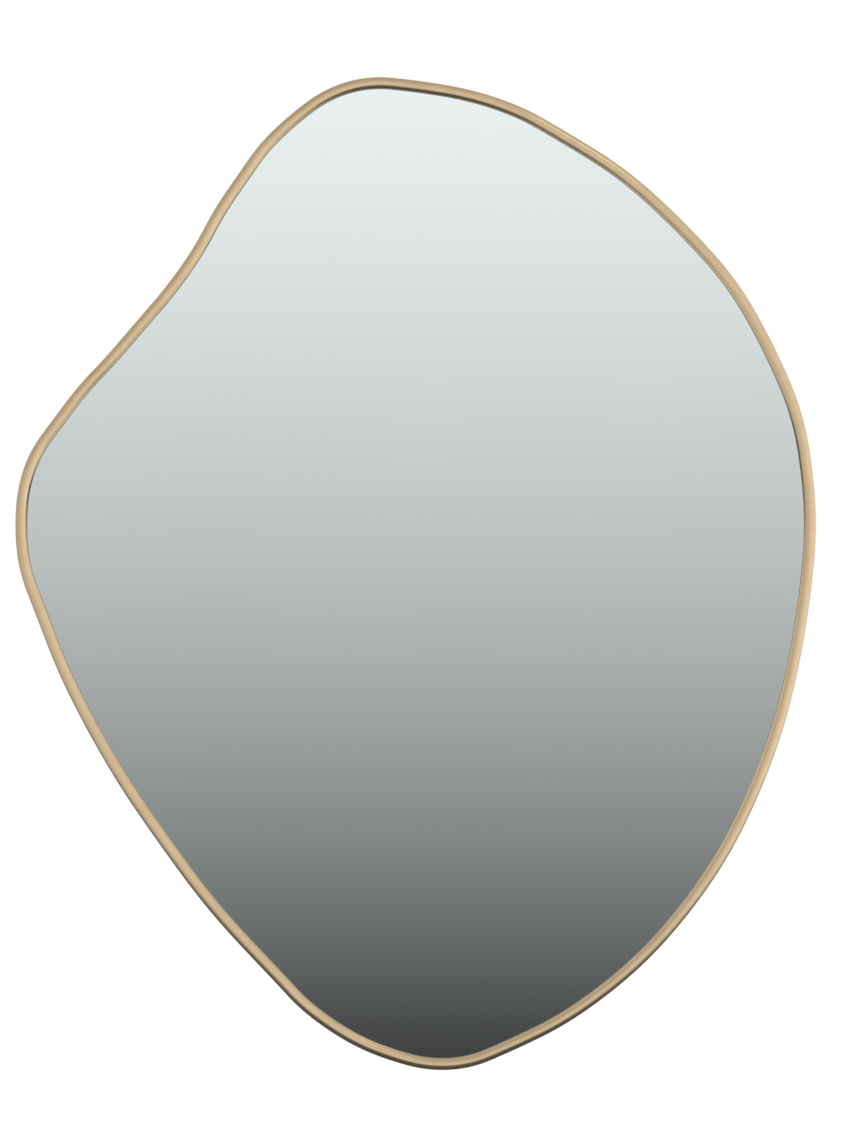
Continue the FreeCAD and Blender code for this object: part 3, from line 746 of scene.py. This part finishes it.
def world_value(world, operation, *sources):
    """A Math node of the world: its inputs are sockets or numbers."""
    node = world.node_tree.nodes.new("ShaderNodeMath")
    node.operation = operation
    for source, entry in zip(sources, node.inputs):
        if isinstance(source, (int, float)):
            entry.default_value = source
        else:
            world.node_tree.links.new(source, entry)
    return node.outputs[0]


def world_ease(world, source, start, end, low, high):
    """Eases from low to high as a value goes from start to end."""
    node = world.node_tree.nodes.new("ShaderNodeMapRange")
    node.interpolation_type = "SMOOTHSTEP"
    for entry, value in (("From Min", start), ("From Max", end), ("To Min", low), ("To Max", high)):
        node.inputs[entry].default_value = value
    world.node_tree.links.new(source, node.inputs["Value"])
    return node.outputs["Result"]


def studio_fall(world, height, levels):
    """The studio's fall of light from above to below, as a colour."""
    fall = world.node_tree.nodes.new("ShaderNodeValToRGB")
    world.node_tree.links.new(height, fall.inputs["Fac"])
    stops = fall.color_ramp.elements
    stops[0].position, stops[1].position = 0.0, 1.0
    for stop, (_, level) in ((stops[0], levels[0]), (stops[1], levels[-1])):
        stop.color = (level, level, level, 1)
    for elevation, level in levels[1:-1]:
        stops.new(elevation / 180 + 0.5).color = (level, level, level, 1)
    return fall.outputs["Color"]


def metal_level(world, direction):
    """How bright the metal's studio is: a little brighter to the right, a little dimmer towards the
    wall, and dark where it is both behind the mirror and low down."""
    right, wall, up = (direction.outputs[axis] for axis in "XYZ")
    sideways = world_value(world, "MULTIPLY_ADD", right, 0.25, 0.975)
    backwards = world_ease(world, wall, start=0.0, end=0.8, low=1.0, high=0.82)
    behind = world_ease(world, wall, start=0.0, end=0.3, low=0.0, high=0.9)
    below = world_ease(world, up, start=-0.15, end=-0.6, low=0.0, high=1.0)
    shade = world_value(world, "SUBTRACT", 1.0, world_value(world, "MULTIPLY", behind, below))
    rear = world_value(world, "MULTIPLY", backwards, shade)
    return world_value(world, "MULTIPLY", sideways, rear)


def make_world():
    """White for the camera, an even soft light, and the studio's own fall of light in metal and glass."""
    world = bpy.data.worlds.new("studio")
    bpy.context.scene.world = world
    world.use_nodes = True
    world.cycles.sampling_method = "NONE"
    nodes = world.node_tree.nodes
    nodes.clear()
    links = world.node_tree.links
    direction = nodes.new("ShaderNodeSeparateXYZ")
    links.new(nodes.new("ShaderNodeTexCoord").outputs["Generated"], direction.inputs[0])
    elevation = world_value(world, "ARCSINE", direction.outputs["Z"])
    height = world_value(world, "MULTIPLY_ADD", elevation, 1 / math.pi, 0.5)

    lights = {}
    for name in ("soft", "metal", "glass", "white"):
        lights[name] = nodes.new("ShaderNodeBackground")
        lights[name].inputs["Color"].default_value = WHITE
    lights["soft"].inputs["Strength"].default_value = SOFT_LIGHT
    links.new(studio_fall(world, height, METAL_STUDIO), lights["metal"].inputs["Color"])
    links.new(metal_level(world, direction), lights["metal"].inputs["Strength"])
    links.new(studio_fall(world, height, GLASS_STUDIO), lights["glass"].inputs["Color"])

    path = nodes.new("ShaderNodeLightPath")
    seen = lights["soft"].outputs[0]
    for ray, name in SEEN_BY:
        choice = nodes.new("ShaderNodeMixShader")
        links.new(path.outputs[ray], choice.inputs[0])
        links.new(seen, choice.inputs[1])
        links.new(lights[name].outputs[0], choice.inputs[2])
        seen = choice.outputs[0]
    links.new(seen, nodes.new("ShaderNodeOutputWorld").inputs[0])


def soft_lamp(name, place, aim, size, watts):
    """A round lamp of a size, at a place, turned to what it is aimed at."""
    lamp = bpy.data.lights.new(name, "AREA")
    lamp.shape = "DISK"
    lamp.size = size
    lamp.energy = watts
    holder = bpy.data.objects.new(name, lamp)
    bpy.context.collection.objects.link(holder)
    holder.location = place
    holder.rotation_euler = (Vector(aim) - Vector(place)).to_track_quat("-Z", "Y").to_euler()


FLOOR_RADIUS = 1.2
FLOOR_DROP = 0.25               # from the mirror's lowest point down to the floor
FLOOR_PALE = (0.80, 0.80, 0.80)
# the painted shade that the metal sees on the floor beneath the mirror
FLOOR_PAINTED_SHADE = (0.115, 0.11, 0.105, 1)


def either(finish, factor, output, first, second):
    """The first surface where the factor is 0, and the second where it is 1."""
    mix = finish.node_tree.nodes.new("ShaderNodeMixShader")
    join_up(finish, factor, output, mix, 0)
    join_up(finish, first, 0, mix, 1)
    join_up(finish, second, 0, mix, 2)
    return mix


def over_floor(finish, distance, low, high, start, end):
    """Eases from low to high between two circles of the floor, given as shares of its radius."""
    eased = spread(finish, distance, "Value", low, high, start * FLOOR_RADIUS, end * FLOOR_RADIUS)
    eased.interpolation_type = "SMOOTHSTEP"
    return eased


def make_floor(low, middle):
    """A pale round floor below the mirror, which fades out to the white of the studio.  The metal sees
    a painted shade on it beneath the mirror, the glass doesn't see it, and from beneath it is clear."""
    bpy.ops.mesh.primitive_circle_add(
        vertices=96, radius=FLOOR_RADIUS, fill_type="NGON", location=(middle.x, 0, low.z - FLOOR_DROP))
    floor = current("pale_floor")
    finish, surface = new_finish("pale_floor", FLOOR_PALE, metallic=0.0, roughness=0.9)
    surface.inputs["Specular IOR Level"].default_value = 0.0
    coordinates = add(finish, "TexCoord")
    distance = finish.node_tree.nodes.new("ShaderNodeVectorMath")
    distance.operation = "LENGTH"
    join_up(finish, coordinates, "Object", distance, 0)
    faded = over_floor(finish, distance, low=0.25, high=1.0, start=0.35, end=0.97)
    # where the painted shade lies: beneath the mirror, fading out towards the floor's edge
    beneath = over_floor(finish, distance, low=1.0, high=0.0, start=0.17, end=0.92)

    path = add(finish, "LightPath")
    white = add(finish, "Emission", Color=WHITE, Strength=1.0)
    # painted shade: a dark patch under the mirror, seen only in the metal's reflections, stands in for
    # the shadow below it
    dark = add(finish, "Emission", Color=FLOOR_PAINTED_SHADE, Strength=1.0)
    clear = add(finish, "BsdfTransparent")
    through_glass = either(finish, path, "Is Transmission Ray", clear, white)
    studio = either(finish, path, "Is Camera Ray", through_glass, white)
    plain = either(finish, faded, "Result", surface, studio)
    shade_in_metal = either(finish, beneath, "Result", clear, dark)
    reflected = either(finish, path, "Is Singular Ray", shade_in_metal, clear)
    from_above = either(finish, path, "Is Glossy Ray", plain, reflected)
    seen = either(finish, add(finish, "NewGeometry"), "Backfacing", from_above, clear)
    join_up(finish, seen, "Shader", finish.node_tree.nodes["Material Output"], "Surface")
    floor.data.materials.append(finish)


def make_camera(low, high):
    """Level, square to the glass, framed as the photograph is."""
    metres_per_pixel = (high.z - low.z) / OUTLINE_HIGH
    half_high = PHOTO_HIGH / 2 * metres_per_pixel
    camera = bpy.data.cameras.new("camera")
    camera.sensor_width = SENSOR
    camera.lens = SENSOR / 2 * CAMERA_DISTANCE / half_high
    holder = bpy.data.objects.new("camera", camera)
    bpy.context.collection.objects.link(holder)
    middle = (low + high) / 2
    right, up = FRAME_MIDDLE
    holder.location = (
        middle.x + right * metres_per_pixel,
        low.y + BEAD_WIDTH / 2 - CAMERA_DISTANCE,
        middle.z + up * metres_per_pixel,
    )
    holder.rotation_euler = (math.pi / 2, 0, 0)
    bpy.context.scene.camera = holder


# ---------------------------------------------------------------- the whole mirror

LUGS = ["bottom", "lower_right", "right", "upper_right", "top", "upper_left", "left", "lower_left"]
TAPES = ["top", "upper", "middle", "lower", "bottom"]
HANGERS = ["left", "right"]
BUMPERS = ["top_left", "top_right", "bottom_left", "bottom_right"]

make_rim()
refinish(silvered_glass(), "mirror_glass")
refinish(fibreboard(), "backing_board")
refinish(foam_tape(), *["tape_" + place for place in TAPES])

steel = bright_zinc("lug_steel", STEEL, STEEL_PALE, roughness=0.42)
zinc = bright_zinc("zinc_plate", ZINC, ZINC_PALE, roughness=0.28)
screw_zinc = bright_zinc("screw_steel", ZINC, ZINC_PALE, roughness=0.24)
for place in LUGS:
    break_edges("lug_" + place, "lug_%s_pressed" % place, steel)
for side in HANGERS:
    break_edges("hanger_strap_" + side, "hanger_strap_%s_folded" % side, zinc)
    refinish(zinc, "hanger_ring_" + side)

screw_pattern = model_screw()
drive_screws(screw_pattern, "lug_screw", "lug_screws", screw_zinc)
for side in HANGERS:
    drive_screws(screw_pattern, "hanger_screw_" + side, "hanger_screws_" + side, screw_zinc)
bpy.data.objects.remove(screw_pattern)

rubber = moulded_rubber()
for place in BUMPERS:
    make_bumper("bumper_" + place, rubber)

rim_low, rim_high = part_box("rim")
rim_middle = (rim_low + rim_high) / 2
make_world()
soft_lamp("key_lamp", place=(1.1, -1.35, 1.85), aim=rim_middle, size=0.5, watts=1.0)
soft_lamp("back_lamp", place=(-1.2, 1.9, 1.2), aim=rim_middle, size=1.6, watts=2.5)
make_floor(rim_low, rim_middle)
make_camera(rim_low, rim_high)
bpy.context.scene.view_settings.view_transform = "Standard"
